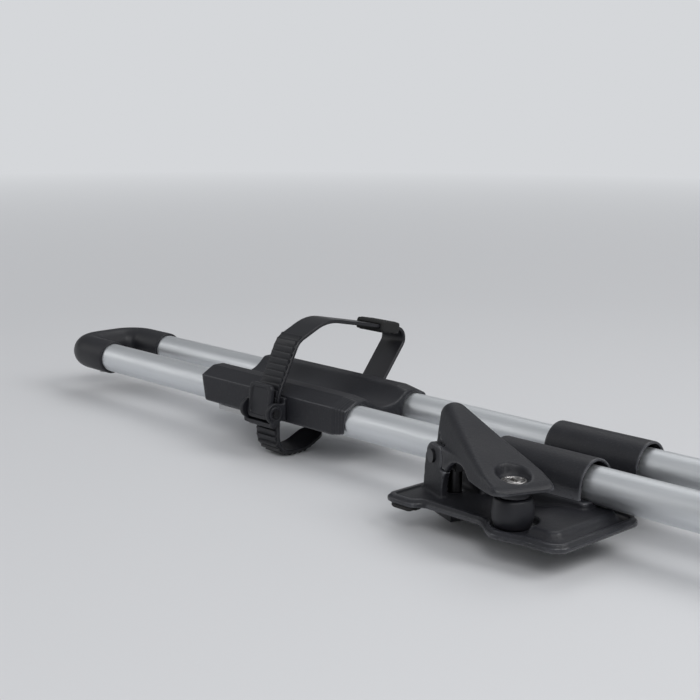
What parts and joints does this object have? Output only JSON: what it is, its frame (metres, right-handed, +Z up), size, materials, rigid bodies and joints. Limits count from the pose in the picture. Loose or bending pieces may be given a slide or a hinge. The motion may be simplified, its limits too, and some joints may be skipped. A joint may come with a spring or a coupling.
{
  "type": "roof mounted bike carrier",
  "caption": "Roof bar bike carrier with parallel rail tubes, lever-clamped feet, a sliding wheel holder with ratchet strap, and a quick-release fork clamp.",
  "frame": {"origin": "on the top face of the rear roof bar, over its slot and midway between the two rail tubes", "axes": "+X to the front of the car along the rail tubes, +Y to its left, +Z up"},
  "size_m": [1.4178, 0.1622, 0.1573],
  "materials": {
    "anodised_tube": "matte silver anodised, with fine lines along the tube",
    "grained_black": "satin black moulding with a fine grain",
    "smooth_black": "smooth satin black moulding",
    "strap_black": "glossy satin black, with moulded cross teeth",
    "rubber": "matte black",
    "steel": "bright zinc plated",
    "dark_steel": "black plated",
    "lock_metal": "bright nickel plated",
    "polished_alloy": "polished"
  },
  "bodies": {
    "rail": {"right_tube": "anodised_tube", "left_tube": "anodised_tube", "rear_end_loop": "smooth_black", "front_end_loop": "smooth_black", "rear_loop_rivets": "steel", "front_loop_rivets": "steel", "rear_foot_plate": "grained_black", "rear_foot_pad": "rubber", "rear_tube_saddle": "grained_black", "rear_saddle_bolts": "steel", "rear_lever_pin": "dark_steel", "rear_lock_post": "smooth_black", "front_foot_plate": "grained_black", "front_foot_pad": "rubber", "front_tube_saddle": "grained_black", "front_saddle_bolts": "steel", "front_lever_pin": "dark_steel", "front_lock_post": "smooth_black", "fork_clamp": "grained_black", "fork_clamp_plate": "steel", "fork_clamp_screws": "steel", "fork_washers": "steel", "skewer_collar": "polished_alloy"},
    "rear_lever": {"rear_clamp_lever": "grained_black"},
    "rear_lock": {"rear_lock_core": "lock_metal"},
    "rear_bolt": {"rear_slot_bolt": "dark_steel"},
    "front_lever": {"front_clamp_lever": "grained_black"},
    "front_lock": {"front_lock_core": "lock_metal"},
    "front_bolt": {"front_slot_bolt": "dark_steel"},
    "holder": {"wheel_holder": "grained_black", "holder_clamp_plate": "steel", "holder_clamp_screw": "steel", "wheel_strap": "strap_black", "strap_pin": "dark_steel", "rim_pad": "rubber", "buckle_frame": "smooth_black", "buckle_rivets": "dark_steel", "buckle_pin": "dark_steel", "buckle_spring": "steel"},
    "buckle_grip": {"buckle_lever": "smooth_black"},
    "skewer": {"skewer_rod": "steel", "skewer_pin": "steel"},
    "skewer_handle": {"skewer_lever": "polished_alloy"},
    "nut": {"skewer_nut": "smooth_black"}
  },
  "joints": [
    {"name": "rear_lever_hinge", "type": "hinge", "parent": "rail", "child": "rear_lever", "pos_m": [0, -0.0495, 0.025], "axis": [-0.3746, -0.9272, 0], "range_deg": [0, 100]},
    {"name": "rear_lock_turn", "type": "hinge", "parent": "rear_lever", "child": "rear_lock", "pos_m": [0.05795, -0.07291, 0.022], "axis": [0, 0, 1], "range_deg": [0, 90]},
    {"name": "rear_bolt_lift", "type": "slide", "parent": "rail", "child": "rear_bolt", "axis": [0, 0, 1], "range_m": [-0.0015, 0]},
    {"name": "front_lever_hinge", "type": "hinge", "parent": "rail", "child": "front_lever", "pos_m": [0.76, -0.0495, 0.025], "axis": [-0.3746, -0.9272, 0], "range_deg": [0, 100]},
    {"name": "front_lock_turn", "type": "hinge", "parent": "front_lever", "child": "front_lock", "pos_m": [0.81795, -0.07291, 0.022], "axis": [0, 0, 1], "range_deg": [0, 90]},
    {"name": "front_bolt_lift", "type": "slide", "parent": "rail", "child": "front_bolt", "axis": [0, 0, 1], "range_m": [-0.0015, 0]},
    {"name": "holder_slide", "type": "slide", "parent": "rail", "child": "holder", "axis": [1, 0, 0], "range_m": [-0.1, 0.05]},
    {"name": "buckle_hinge", "type": "hinge", "parent": "holder", "child": "buckle_grip", "pos_m": [-0.159, -0.04575, 0.018], "axis": [1, 0, 0], "range_deg": [0, 45], "stiffness_Nm_per_rad": 0.05, "springref_deg": -17.19},
    {"name": "skewer_slide", "type": "slide", "parent": "rail", "child": "skewer", "axis": [0, 1, 0], "range_m": [0, 0.0009005]},
    {"name": "skewer_hinge", "type": "hinge", "parent": "skewer", "child": "skewer_handle", "pos_m": [0.91, -0.07335, 0.084], "axis": [1, 0, 0], "range_deg": [0, 110]},
    {"name": "nut_spin", "type": "hinge", "parent": "skewer", "child": "nut", "pos_m": [0.91, 0.063, 0.084], "axis": [0, 1, 0], "continuous": true}
  ],
  "couplings": [
    {"joint": "rear_bolt_lift", "follows": "rear_lever_hinge", "m_per_rad": -0.000838},
    {"joint": "front_bolt_lift", "follows": "front_lever_hinge", "m_per_rad": -0.000838},
    {"joint": "skewer_slide", "follows": "skewer_hinge", "m_per_rad": 0.000469}
  ]
}
